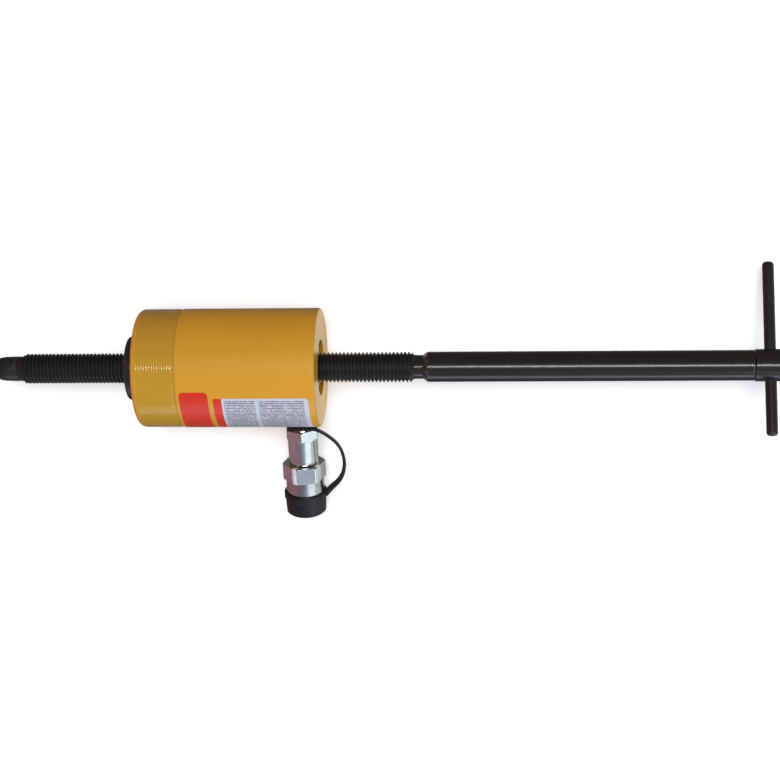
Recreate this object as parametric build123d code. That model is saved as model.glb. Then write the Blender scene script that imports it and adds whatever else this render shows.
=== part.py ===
from build123d import *
import math
import os

# Hollow-plunger hydraulic ram with a threaded forcing screw through its centre.
# Millimetres.  The origin is on the ram's axis, in the plane of its base face.
# +X runs from the plunger end to the T-handle, +Z is up.  The ram lies on its
# side: its barrel and its dust cap both touch the ground.

# ---------------------------------------------------------------- barrel
R_BODY = 49.3          # outside radius of the barrel
L_BODY = 151.0         # barrel length
R_COLLAR = 49.2        # major radius of the fine collar thread
L_COLLAR = 36.1        # length of the threaded collar
R_BORE = 35.75         # cylinder bore
BASE_T = 16.0          # thickness of the base wall
R_CBORE = 23.0         # counterbore seen in the base face
D_CBORE = 7.0
END_X, END_R = 5.8, 4.5   # rounding at the plunger end, along and across the axis
BASE_R = 2.2           # rounding at the base end

# ---------------------------------------------------------------- centre tube, plunger
R_TUBE_I, R_TUBE_O = 13.45, 17.45
TUBE_END = -127.0
R_PLUNGER = 27.05
R_PL_I = 18.6
PISTON_X0, PISTON_X1 = -24.0, -44.0
SADDLE_T = 10.0        # how far the saddle stands out of the barrel
R_SADDLE = 26.66
R_SPIGOT = 19.5
FIT = 0.05             # radial running clearance
STROKE = 50.0

# ---------------------------------------------------------------- forcing screw
PITCH = 25.4 / 8.0
R_THREAD = 12.45       # major radius of the screw thread
R_SHAFT = 12.5
X_THREAD_L, X_THREAD_R = -251.0, 75.0
R_RELIEF = 9.85
X_RELIEF_L, X_RELIEF_R = 77.6, 85.0
X_SHAFT_L = 88.6
X_HUB_L, X_HUB_R = 355.1, 382.0
STUB = 6.4             # length of the screw's end inside the hub
R_HUB = 13.2
X_BAR = 367.6
R_BAR = 4.73
BAR_UP, BAR_DOWN = 86.3, 58.2   # lengths either side of the screw's axis
BAR_ANGLE = 199.9      # its direction, degrees from -Y towards +Z

# ---------------------------------------------------------------- coupler
X_PORT = -19.05
TILT = 14.0            # how far the coupler points below the horizontal, degrees
W_FLAT = 48.6          # distance of the spot face from the ram's axis
HEX_AF = 25.4
R_NECK = 12.5
R_JOURNAL = 10.0
R_RING, R_SKIRT = 18.25, 16.0
RING_AF = 32.8         # across the flats of the union ring
W_RING_T, W_RING_B, W_SKIRT_B = 86.45, 100.5, 124.0
W_CAP_T, W_CAP_B = 112.9, 132.7
R_CAP_RIM = 18.15

os.makedirs("parts", exist_ok=True)


def rev(points):
    """Solid of revolution about X from a closed outline of (x, radius) points."""
    outline = Plane.XZ * make_face(Polyline(*points, close=True))
    return revolve(outline, axis=Axis.X)


def ring(x0, x1, r0, r1, ch=0.0):
    """Plain ring about X, with its four edges chamfered by ch."""
    a, b = min(x0, x1), max(x0, x1)
    if ch:
        return rev([(a + ch, r0), (b - ch, r0), (b, r0 + ch), (b, r1 - ch), (b - ch, r1),
                    (a + ch, r1), (a, r1 - ch), (a, r0 + ch)])
    return rev([(a, r0), (b, r0), (b, r1), (a, r1)])


def rod(x0, x1, r, ch=0.0):
    a, b = min(x0, x1), max(x0, x1)
    if ch:
        return rev([(a, 0), (b, 0), (b, r - ch), (b - ch, r), (a + ch, r), (a, r - ch)])
    return rev([(a, 0), (b, 0), (b, r), (a, r)])


def quarter(x, r, dx, dr, steps=4):
    """Points of a quarter ellipse from the end face (x, r - dr) to the side (x + dx, r)."""
    a = [math.pi / 2 * i / steps for i in range(steps + 1)]
    return [(x + dx * (1 - math.cos(t)), r - dr * (1 - math.sin(t))) for t in a]


def hexagonal(w0, w1, across_flats, turn):
    """Hexagonal prism about X; one corner stands turn degrees from Z, towards -Y."""
    prism = Rot(0, 90, 0) * extrude(RegularPolygon(across_flats / 2, 6, major_radius=False, rotation=turn), amount=w1 - w0)
    return Pos(w0, 0, 0) * prism


def along(theta):
    """Unit direction across the ram, theta degrees from -Y towards +Z."""
    t = math.radians(theta)
    return Vector(0, -math.cos(t), math.sin(t))


COUPLER = along(-TILT)
# local X runs out along the coupler, local Y lies along the ram, at the port
COUPLER_PLANE = Plane(origin=(X_PORT, 0, 0), x_dir=COUPLER, z_dir=COUPLER.cross(Vector(1, 0, 0)))
assert abs(COUPLER_PLANE.y_dir.X - 1.0) < 1e-6


def coupled(shape):
    return COUPLER_PLANE.location * shape


nodes = {}

# ================================================================= barrel
body = rev([
    (-L_BODY, 36.6), *quarter(-L_BODY, R_COLLAR, END_X, END_R, 6),
    (-L_BODY + L_COLLAR, R_COLLAR), (-L_BODY + L_COLLAR + 0.4, R_COLLAR - 0.5),
    (-L_BODY + L_COLLAR + 1.8, R_COLLAR - 0.5), (-L_BODY + L_COLLAR + 2.4, R_BODY),
    (-BASE_R, R_BODY), (-BASE_R * 0.617, R_BODY - BASE_R * 0.076),
    (-BASE_R * 0.293, R_BODY - BASE_R * 0.293), (-BASE_R * 0.076, R_BODY - BASE_R * 0.617),
    (0, R_BODY - BASE_R), (0, R_CBORE + 0.5), (-0.5, R_CBORE),
    (-D_CBORE, R_CBORE), (-D_CBORE, R_TUBE_O), (-9.4, R_TUBE_O), (-9.4, 20.2), (-12.4, 20.2), (-12.4, R_TUBE_O),
    (-BASE_T, R_TUBE_O), (-BASE_T, R_BORE), (-128.0, R_BORE), (-128.6, 36.6)])
port = coupled(rod(30, 60, 8.4))
oil_way = coupled(rod(20, 40, 3.5))
spot = coupled(rod(W_FLAT, 70, 15.6))
nodes["cylinder_body"] = body - spot - port - oil_way

# centre tube: screwed into the base, its flange bedded in the counterbore
nodes["centre_tube"] = rev([
    (TUBE_END, R_TUBE_I + 0.6), (TUBE_END + 0.6, R_TUBE_I), (-3.6, R_TUBE_I), (-3.0, R_TUBE_I + 0.6), (-3.0, 20.8),
    (-3.6, 21.4), (-D_CBORE, 21.4), (-D_CBORE, R_TUBE_O), (TUBE_END + 1.0, R_TUBE_O), (TUBE_END, R_TUBE_O - 1.0)])
nodes["tube_base_oring"] = ring(-12.3, -9.5, R_TUBE_O, 20.1, 0.6)

# gland nut: screwed into the plunger end, the plunger's stop and its outer bearing
gland = rev([
    (-149.0, 31.0), (-149.0, 35.8), (-148.2, 36.6), (-128.6, 36.6), (-128.6, R_BORE - 0.4), (-129.0, R_BORE - 0.8),
    (-129.0, R_PLUNGER + FIT), (-143.0, R_PLUNGER + FIT), (-143.0, 31.0)])
spanner_holes = [Rot(a, 0, 0) * Pos(-149.0, 0, 33.6) * Rot(0, 90, 0) * Cylinder(1.9, 8.0) for a in (0, 90, 180, 270)]
for h in spanner_holes:
    gland = gland - h
nodes["gland_nut"] = gland
nodes["wiper_ring"] = rev([
    (-143.1, R_PLUNGER + FIT), (-143.1, 30.9), (-148.6, 30.9), (-148.6, 29.4), (-150.2, 27.7), (-150.2, R_PLUNGER + FIT),
    (-147.5, R_PLUNGER + FIT), (-146.8, 28.0), (-145.4, 28.0), (-144.6, R_PLUNGER + FIT)])

# ================================================================= plunger
nodes["plunger"] = rev([
    (-30.0, R_PL_I), (-30.0, 24.0), (PISTON_X1, 24.0), (PISTON_X1, R_PLUNGER), (-L_BODY + 0.8, R_PLUNGER),
    (-L_BODY, R_PLUNGER - 0.8), (-L_BODY, R_SPIGOT), (-128.5, R_SPIGOT), (-128.5, R_PL_I)])
nodes["piston_head"] = rev([
    (PISTON_X0, 18.2), (PISTON_X0, 34.9), (-24.8, R_BORE - FIT), (-27.0, R_BORE - FIT), (-27.0, 31.0), (-33.0, 31.0),
    (-33.0, R_BORE - FIT), (-35.5, R_BORE - FIT), (-35.5, 33.2), (-41.5, 33.2), (-41.5, R_BORE - FIT), (-43.4, R_BORE - FIT),
    (PISTON_X1, 34.9), (PISTON_X1, 24.0), (-30.0, 24.0), (-30.0, R_TUBE_O + FIT), (-28.9, R_TUBE_O + FIT), (-28.9, 20.8),
    (-25.7, 20.8), (-25.7, R_TUBE_O + FIT), (-24.6, R_TUBE_O + FIT)])
nodes["piston_seal"] = rev([
    (-27.1, 31.1), (-27.1, 32.0), (-29.4, 33.0), (-27.1, 34.4), (-27.1, R_BORE - FIT), (-32.9, R_BORE - FIT), (-32.9, 31.1)])
nodes["piston_wear_ring"] = ring(-41.4, -35.6, 33.2, R_BORE - FIT, 0.3)
nodes["inner_seal"] = ring(-28.8, -25.8, R_TUBE_O + FIT, 20.7, 0.5)

# saddle: screwed into the plunger, threaded inside for the forcing screw
nodes["saddle"] = rev([
    (-L_BODY - SADDLE_T, R_THREAD + FIT + 1.4), (-L_BODY - SADDLE_T, R_SADDLE - 2.3), (-L_BODY - SADDLE_T + 2.3, R_SADDLE),
    (-L_BODY - 0.5, R_SADDLE), (-L_BODY, R_SADDLE - 0.5), (-L_BODY, R_SPIGOT), (-134.0, R_SPIGOT), (-133.0, R_SPIGOT - 1.0),
    (-133.0, R_THREAD + FIT + 1.2), (-134.2, R_THREAD + FIT), (-L_BODY - SADDLE_T + 1.4, R_THREAD + FIT)])

# return spring, between the gland nut and the piston
wire = 3.0
coil_r = 31.4
coil = Helix(pitch=15.7, height=79.0 - 0.5, radius=coil_r, center=(-125.75, 0, 0), direction=(1, 0, 0))
section = Plane(origin=coil @ 0, z_dir=coil % 0) * Circle(wire)
nodes["return_spring"] = sweep(section, path=coil)

# ================================================================= forcing screw
screw = rev([
    (-268.0, 0), (X_HUB_L + STUB, 0), (X_HUB_L + STUB, 7.4), (X_HUB_L + STUB - 0.6, 8.0), (X_HUB_L - 0.6, 8.0),
    (X_HUB_L - 0.6, R_SHAFT - 0.7), (X_HUB_L - 1.3, R_SHAFT), (X_SHAFT_L, R_SHAFT), (X_RELIEF_R, R_RELIEF),
    (X_RELIEF_L, R_RELIEF), (X_THREAD_R, R_THREAD), (X_THREAD_L, R_THREAD), (X_THREAD_L - 2.4, 10.3), (-255.0, 10.3),
    (-255.0, 5.0), (-260.0, 5.0), (-260.0, 4.3), (-261.2, 4.3), (-261.2, 5.0), (-267.5, 5.0), (-268.0, 4.5)])
hub_pin_hole = Pos(X_HUB_L + 3.4, 0, 0) * Cylinder(1.6, 40.0)
nodes["forcing_screw"] = screw - hub_pin_hole

hub = rev([
    (X_HUB_L, 8.0), (X_HUB_L, R_HUB - 0.6), (X_HUB_L + 0.6, R_HUB), (X_HUB_R - 1.4, R_HUB), (X_HUB_R, R_HUB - 1.4), (X_HUB_R, 0),
    (X_HUB_L + STUB + 0.1, 0), (X_HUB_L + STUB + 0.1, 8.0)])
bar_dir = along(BAR_ANGLE)
# local Z of this plane is the handle bar's own axis
bar_plane = Plane(origin=(X_BAR, 0, 0), x_dir=(1, 0, 0), z_dir=bar_dir)
bar_hole = bar_plane.location * Cylinder(R_BAR + FIT, 60.0)
detent_hole = rod(X_BAR, X_HUB_R - 3.9, 1.7)
screw_hole = rod(X_HUB_R - 3.9, X_HUB_R + 1.0, 2.9)
nodes["handle_hub"] = hub - bar_hole - detent_hole - screw_hole - hub_pin_hole
nodes["hub_pin"] = Pos(X_HUB_L + 3.4, 0, 0) * Cylinder(1.6, 24.6)
nodes["detent_ball"] = Pos(X_BAR + R_BAR + 1.6 + 0.02, 0, 0) * Sphere(1.6)
ball_end = X_BAR + R_BAR + 3.2 + 0.02
push = Helix(pitch=0.62, height=1.7, radius=1.05, center=(ball_end + 0.3, 0, 0), direction=(1, 0, 0))
nodes["detent_spring"] = sweep(Plane(origin=push @ 0, z_dir=push % 0) * Circle(0.22), path=push)
nodes["detent_grub_screw"] = rod(X_HUB_R - 3.8, X_HUB_R - 0.3, 2.9) - Pos(X_HUB_R, 0, 0) * Rot(0, 90, 0) * extrude(
    RegularPolygon(1.5, 6, major_radius=False), amount=2.2, both=True)

# handle bar, rounded at both ends
BAR_LEN = BAR_UP + BAR_DOWN
bar = Rot(0, -90, 0) * rev([
    (-BAR_DOWN, 0), (BAR_UP, 0), *quarter(BAR_UP, R_BAR, -2.8, 2.4), *reversed(quarter(-BAR_DOWN, R_BAR, 2.8, 2.8))])
nodes["t_bar"] = bar_plane.location * bar

# swivelling centre point at the screw's far end, on a ball
nodes["swivel_tip"] = rev([
    (-255.15, 5.0 + FIT), (-255.15, 10.1), (-256.0, 10.6), (-266.0, 10.1), (-270.5, 9.4), (-283.0, 2.0), (-284.0, 0), (-276.1, 0),
    (-276.1, 5.0 + FIT), (-261.35, 5.0 + FIT), (-261.35, 6.1), (-259.85, 6.1), (-259.85, 5.0 + FIT)])
nodes["thrust_ball"] = Pos(-272.03, 0, 0) * Sphere(4.0)
nodes["tip_clip"] = ring(-261.15, -260.05, 4.3, 5.95)

# ================================================================= coupler
hexagon = hexagonal(54.2, 63.6, HEX_AF, -4) & rev([(54.2, 0), (54.2, 13.6), (55.0, 14.9), (61.2, 14.9), (63.6, 13.0), (63.6, 0)])
shank = rev([
    (36.5, 3.5), (36.5, 7.6), (37.3, 8.4), (W_FLAT, 8.4), (W_FLAT, 10.4), (54.2, 10.4), (54.2, 12.0), (63.0, 12.0), (63.0, R_NECK),
    (85.5, R_NECK), (86.3, R_NECK - 0.8), (86.3, R_JOURNAL), (91.45, R_JOURNAL), (91.45, 9.2), (92.65, 9.2), (92.65, R_JOURNAL),
    (106.0, R_JOURNAL), (106.0, 8.8), (108.6, 8.8), (108.6, R_JOURNAL), (117.2, R_JOURNAL), (118.0, 9.2), (118.0, 4.1),
    (116.0, 4.1), (114.2, 6.2), (96.0, 6.2), (96.0, 3.5)])
shank = shank + (hexagon - rod(54.0, 64.0, 11.0))
nodes["coupler_body"] = coupled(shank)
nodes["coupler_snap_ring"] = coupled(ring(91.5, 92.6, 9.2, 12.2))
nodes["coupler_nose_oring"] = coupled(ring(106.1, 108.5, 8.8, 11.0, 0.6))
sleeve = rev([
    (W_RING_T, R_JOURNAL + FIT), (W_RING_T, R_RING - 0.9), (W_RING_T + 0.9, R_RING), (W_RING_B - 0.5, R_RING),
    (W_RING_B, R_RING - 0.5), (W_RING_B, R_SKIRT), (W_SKIRT_B - 0.8, R_SKIRT), (W_SKIRT_B, R_SKIRT - 0.8), (W_SKIRT_B, 14.6),
    (W_SKIRT_B - 0.8, 13.8), (94.0, 13.8), (94.0, 14.4), (91.2, 14.4), (91.2, R_JOURNAL + FIT)])
# six flats milled on the union ring, its corners left round
nodes["coupler_sleeve"] = coupled(sleeve - (rod(W_RING_T - 1, W_RING_B, 24) - hexagonal(W_RING_T - 2, W_RING_B + 1, RING_AF, 18.7)))
nodes["coupler_poppet"] = coupled(rev([
    (103.5, 0), (103.5, 6.15), (109.0, 6.15), (113.9, 6.15), (115.8, 4.0), (119.2, 4.0), (119.6, 3.6), (119.6, 0)]))
small = Helix(pitch=1.55, height=6.2, radius=5.0, center=(96.55, 0, 0), direction=(1, 0, 0))
nodes["poppet_spring"] = coupled(sweep(Plane(origin=small @ 0, z_dir=small % 0) * Circle(0.5), path=small))

nodes["strap_ring"] = coupled(ring(49.6, 53.4, R_JOURNAL + 0.7, 14.2, 0.5))

# dust cap with the lug that its strap grows out of
cap = rev([
    (W_CAP_T, R_SKIRT + FIT), (W_CAP_T, R_CAP_RIM - 0.5), (W_CAP_T + 0.5, R_CAP_RIM), (W_CAP_T + 5.0, R_CAP_RIM),
    (W_CAP_T + 5.5, R_CAP_RIM - 0.5), (W_CAP_T + 5.5, 17.3), (W_CAP_B - 2.0, 16.6), (W_CAP_B - 0.5, 15.8), (W_CAP_B, 14.6),
    (W_CAP_B, 0), (129.4, 0), (129.4, R_SKIRT - 0.6), (128.8, R_SKIRT + FIT)])
lug = extrude(make_face(Polyline((113.4, 17.0), (118.2, 17.0), (118.2, 18.9), (113.08, 23.08), (110.64, 19.07), (113.0, 17.5), close=True)),
              amount=2.9, both=True)
nodes["dust_cap"] = coupled(cap + lug)

# strap: a moulded band that leaves the front of its ring and swings round to the cap's lug.
# Points are (out along the coupler, along the ram, across both).
centre = [(51.2, 4.0, 11.6), (51.5, 12.0, 11.3), (54.9, 18.0, 9.5), (60.9, 24.0, 6.5), (67.9, 29.5, 4.0), (76.7, 33.1, 2.0),
          (87.0, 34.4, 0.4), (96.4, 33.0, 0), (104.0, 28.9, 0), (111.87, 21.09, 0)]
axis_line = Spline(*centre, tangents=[(0, 1, 0), (0.854, -0.52, 0)])
N = 18
sections = []
for i in range(N + 1):
    f = i / N
    p, t = axis_line @ f, (axis_line % f).normalized()
    side = (Vector(0, 0, 1) - t * t.Z).normalized()
    thick = 2.2 + 2.4 * max(0.0, (f - 0.45) / 0.55) ** 1.2
    wide = 4.2 + 1.2 * f
    sections.append(Plane(origin=p, x_dir=side, z_dir=t) * Rectangle(wide, thick))
nodes["cap_strap"] = coupled(loft(sections) - rod(48.7, 54.1, 14.2))

# ================================================================= label places
def patch(x0, x1, theta0, theta1):
    """Thin curved skin on the barrel from theta0 down to theta1."""
    outline = Plane.XZ * make_face(Polyline((x0, R_BODY), (x1, R_BODY), (x1, R_BODY + 0.12), (x0, R_BODY + 0.12), close=True))
    return Rot(90 - theta0, 0, 0) * revolve(outline, axis=Axis.X, revolution_arc=theta0 - theta1)


nodes["label_patch_red"] = patch(-111.3, -87.6, 74.7, 8.0)
nodes["label_strip_red"] = patch(-83.7, -76.75, 67.9, 8.0)
nodes["label_panel_pale"] = patch(-76.55, -5.6, 68.1, 12.0)

for name, shape in nodes.items():
    solids = shape.solids()
    keep = solids[0] if len(solids) == 1 else Compound(children=list(solids))
    keep.label = name
    export_step(keep, f"parts/{name}.step")
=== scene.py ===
import bpy, bmesh, math
import numpy as np
from mathutils import Vector, Matrix


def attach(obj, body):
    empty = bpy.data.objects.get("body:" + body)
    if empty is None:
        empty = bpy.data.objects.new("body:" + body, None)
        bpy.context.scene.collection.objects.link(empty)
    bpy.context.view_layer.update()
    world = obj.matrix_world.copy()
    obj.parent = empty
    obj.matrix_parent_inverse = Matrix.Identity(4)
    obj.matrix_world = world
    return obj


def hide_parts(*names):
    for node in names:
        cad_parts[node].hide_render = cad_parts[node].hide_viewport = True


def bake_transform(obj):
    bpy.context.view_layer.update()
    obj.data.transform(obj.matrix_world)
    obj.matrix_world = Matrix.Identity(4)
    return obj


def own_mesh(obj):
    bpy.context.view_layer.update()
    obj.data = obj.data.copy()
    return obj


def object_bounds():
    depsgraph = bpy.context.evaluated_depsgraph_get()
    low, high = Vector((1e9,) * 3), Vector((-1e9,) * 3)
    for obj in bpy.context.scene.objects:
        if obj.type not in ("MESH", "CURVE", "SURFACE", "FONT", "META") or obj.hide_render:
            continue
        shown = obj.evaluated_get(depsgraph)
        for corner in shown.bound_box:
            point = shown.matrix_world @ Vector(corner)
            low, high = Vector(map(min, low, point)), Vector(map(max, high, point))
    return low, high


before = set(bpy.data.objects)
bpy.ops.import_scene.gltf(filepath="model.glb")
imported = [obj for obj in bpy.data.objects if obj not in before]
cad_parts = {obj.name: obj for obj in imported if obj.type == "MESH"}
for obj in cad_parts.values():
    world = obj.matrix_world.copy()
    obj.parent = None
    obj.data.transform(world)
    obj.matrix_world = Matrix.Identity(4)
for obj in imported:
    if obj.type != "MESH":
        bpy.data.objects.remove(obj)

CAD_LO, CAD_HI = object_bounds()
MM = 0.001
IN = 25.4

# ------------------------------------------------------------------ sizes, millimetres, as in the CAD
R_BODY, L_BODY, R_COLLAR, L_COLLAR = 49.3, 151.0, 49.2, 36.1
R_CBORE, D_CBORE, R_BORE = 23.0, 7.0, 35.75
R_THREAD, R_SHAFT, PITCH = 12.45, 12.5, IN / 8
X_THREAD_L, X_THREAD_R = -251.0, 75.0
X_HUB_L, X_HUB_R, R_HUB, STUB = 355.1, 382.0, 13.2, 6.4
X_BAR, R_BAR, BAR_UP, BAR_DOWN, BAR_ANGLE = 367.6, 4.73, 86.3, 58.2, 199.9
X_PORT, TILT, W_FLAT = -19.05, 14.0, 48.6
FLOOR_Z = min(CAD_LO.z, -0.0493) - 0.0001


def across(theta):
    """Unit vector across the ram, theta degrees from -Y towards +Z."""
    t = math.radians(theta)
    return Vector((0, -math.cos(t), math.sin(t)))


COUPLER = across(-TILT)
SIDE = COUPLER.cross(Vector((1, 0, 0)))
# columns: out along the coupler, along the ram, across both
COUPLER_M = Matrix.Translation((X_PORT * MM, 0, 0)) @ Matrix((
    (COUPLER.x, 1, SIDE.x, 0), (COUPLER.y, 0, SIDE.y, 0), (COUPLER.z, 0, SIDE.z, 0), (0, 0, 0, 1)))
BAR = across(BAR_ANGLE)
BAR_SIDE = BAR.cross(Vector((1, 0, 0)))
BAR_M = Matrix.Translation((X_BAR * MM, 0, 0)) @ Matrix((
    (BAR.x, 1, BAR_SIDE.x, 0), (BAR.y, 0, BAR_SIDE.y, 0), (BAR.z, 0, BAR_SIDE.z, 0), (0, 0, 0, 1)))


# ------------------------------------------------------------------ mesh helpers
def rounded(points, default=0.25, closed=True, steps=4):
    """Outline with its corners rounded. A point is (x, r) or (x, r, radius)."""
    pts = [(p[0], p[1], p[2] if len(p) > 2 else default) for p in points]
    n = len(pts)
    out = []
    for i, (x, y, rad) in enumerate(pts):
        if (not closed and i in (0, n - 1)) or rad <= 0 or y < 1e-9:
            out.append((x, y))
            continue
        a = np.array(pts[i - 1][:2], float)
        b = np.array((x, y), float)
        c = np.array(pts[(i + 1) % n][:2], float)
        u, v = a - b, c - b
        lu, lv = np.linalg.norm(u), np.linalg.norm(v)
        u, v = u / lu, v / lv
        cosang = float(np.clip(u @ v, -1, 1))
        ang = math.acos(cosang)
        if ang > math.radians(177):
            out.append((x, y))
            continue
        cut = min(rad / math.tan(ang / 2), 0.45 * lu, 0.45 * lv)
        r = cut * math.tan(ang / 2)
        p0, p1 = b + u * cut, b + v * cut
        centre = b + (u + v) / np.linalg.norm(u + v) * (r / math.sin(ang / 2))
        a0 = math.atan2(*(p0 - centre)[::-1])
        a1 = math.atan2(*(p1 - centre)[::-1])
        d = (a1 - a0 + math.pi) % (2 * math.pi) - math.pi
        k = max(1, int(round(steps * abs(d) / (math.pi / 2))))
        for s in range(k + 1):
            t = a0 + d * s / k
            out.append((centre[0] + r * math.cos(t), centre[1] + r * math.sin(t)))
    return out


def quarter(x, r, dx, dr, steps=10):
    """Quarter ellipse from the end face (x, r - dr) to the side (x + dx, r)."""
    a = [math.pi / 2 * i / steps for i in range(steps + 1)]
    return [(x + dx * (1 - math.cos(t)), r - dr * (1 - math.sin(t))) for t in a]


def dense(points, step=6.0):
    """Extra rings on long straight runs, so that masks and bumps have something to sit on."""
    out = [points[0]]
    for a, b in zip(points, points[1:]):
        k = max(1, int(math.hypot(b[0] - a[0], b[1] - a[1]) / step))
        for i in range(1, k + 1):
            out.append((a[0] + (b[0] - a[0]) * i / k, a[1] + (b[1] - a[1]) * i / k))
    return out


def thread_rows(x_l, x_r, pitch, r_maj, r_min, env_l, env_r, crest=0.125, root=0.19, hand=1):
    """Rows of a helical thread: (fraction of a pitch, radius) and the limits it is clipped to."""
    flank = (1 - crest - root) / 2
    d = r_maj - r_min
    e = 0.10
    prof = [(0.0, r_maj), (crest, r_maj), (crest + flank * e, r_maj - d * 0.05), (crest + flank * 0.5, (r_maj + r_min) / 2),
            (crest + flank * (1 - e), r_min + d * 0.05), (crest + flank, r_min), (crest + flank + root, r_min),
            (crest + flank + root + flank * e, r_min + d * 0.05), (crest + flank + root + flank * 0.5, (r_maj + r_min) / 2),
            (1 - flank * e, r_maj - d * 0.05)]
    return dict(x_l=x_l, x_r=x_r, pitch=pitch, prof=prof, env_l=env_l, env_r=env_r, hand=hand)


def interp(env, x):
    xs, rs = zip(*env)
    return float(np.interp(x, xs, rs))


def revolve_mesh(name, items, seg=128, matrix=None, closed=True):
    """Solid of revolution about X. items: (x, r) points, or a dict from thread_rows. Millimetres in, metres out."""
    th = np.arange(seg) * 2 * math.pi / seg
    rows = []          # each (x array, r array, rows per pitch or 0, index of the block's last row)
    for it in items:
        if isinstance(it, dict):
            p, prof = it["pitch"], it["prof"]
            turns = int(math.ceil((it["x_r"] - it["x_l"]) / p)) + 2
            start = len(rows)
            rpp = len(prof)
            last = start + turns * rpp - 1
            for k in range(turns):
                for o, r in prof:
                    x = it["x_l"] - p + p * (k + o) + p * th / (2 * math.pi)
                    xc = np.clip(x, it["x_l"], it["x_r"])
                    env = np.minimum(np.interp(xc, *zip(*it["env_l"])), np.interp(xc, *zip(*it["env_r"])))
                    rows.append((xc, np.minimum(r, env), rpp, last))
        else:
            x, r = it[:2]
            rows.append((np.full(seg, float(x)), np.full(seg, float(r)), 0, 0))
    n = len(rows)
    co = np.zeros((n, seg, 3))
    for i, (x, r, _, _) in enumerate(rows):
        co[i, :, 0] = x
        co[i, :, 1] = r * np.cos(th)
        co[i, :, 2] = r * np.sin(th)
    idx = np.arange(n * seg).reshape(n, seg)

    def nxt(i, j):
        if j + 1 < seg:
            return idx[i, j + 1]
        x, r, rpp, last = rows[i]
        return idx[min(i + rpp, last), 0] if rpp else idx[i, 0]

    faces = []
    for i in range(n if closed else n - 1):
        k = (i + 1) % n
        a, b = idx[i], idx[k]
        for j in range(seg - 1):
            faces.append((a[j], a[j + 1], b[j + 1], b[j]))
        faces.append((a[seg - 1], nxt(i, seg - 1), nxt(k, seg - 1), b[seg - 1]))
    me = bpy.data.meshes.new(name)
    me.from_pydata((co.reshape(-1, 3) * MM).tolist(), [], [tuple(int(q) for q in f) for f in faces])
    bm = bmesh.new()
    bm.from_mesh(me)
    bmesh.ops.remove_doubles(bm, verts=bm.verts, dist=4e-6)
    bmesh.ops.dissolve_degenerate(bm, edges=bm.edges, dist=1e-7)
    bmesh.ops.recalc_face_normals(bm, faces=bm.faces)
    bm.to_mesh(me)
    bm.free()
    if matrix is not None:
        me.transform(matrix)
    o = bpy.data.objects.new(name, me)
    bpy.context.scene.collection.objects.link(o)
    return o


def smooth(o, angle=32, weighted=True):
    me = o.data
    me.polygons.foreach_set("use_smooth", [True] * len(me.polygons))
    me.set_sharp_from_angle(angle=math.radians(angle))
    if weighted:
        w = o.modifiers.new("normals", "WEIGHTED_NORMAL")
        w.keep_sharp = True
        w.weight = 80
    return o


def baked(o):
    """The object's mesh with its modifiers applied."""
    bpy.context.view_layer.update()
    dg = bpy.context.evaluated_depsgraph_get()
    me = bpy.data.meshes.new_from_object(o.evaluated_get(dg), depsgraph=dg)
    o.modifiers.clear()
    o.data = me
    return o


def cut(o, *tools):
    for t in tools:
        m = o.modifiers.new("cut", "BOOLEAN")
        m.operation, m.solver, m.object = "DIFFERENCE", "EXACT", t
        baked(o)
        bpy.data.objects.remove(t)
    return o


def plain_rod(name, x0, x1, r, matrix=None, seg=96):
    return revolve_mesh(name, [(x0, 0), (x0, r), (x1, r), (x1, 0)], seg, matrix, closed=False)


def keep(o, body, slot, *nodes):
    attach(o, body)
    if nodes:
        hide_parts(*nodes)
    return o


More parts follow.
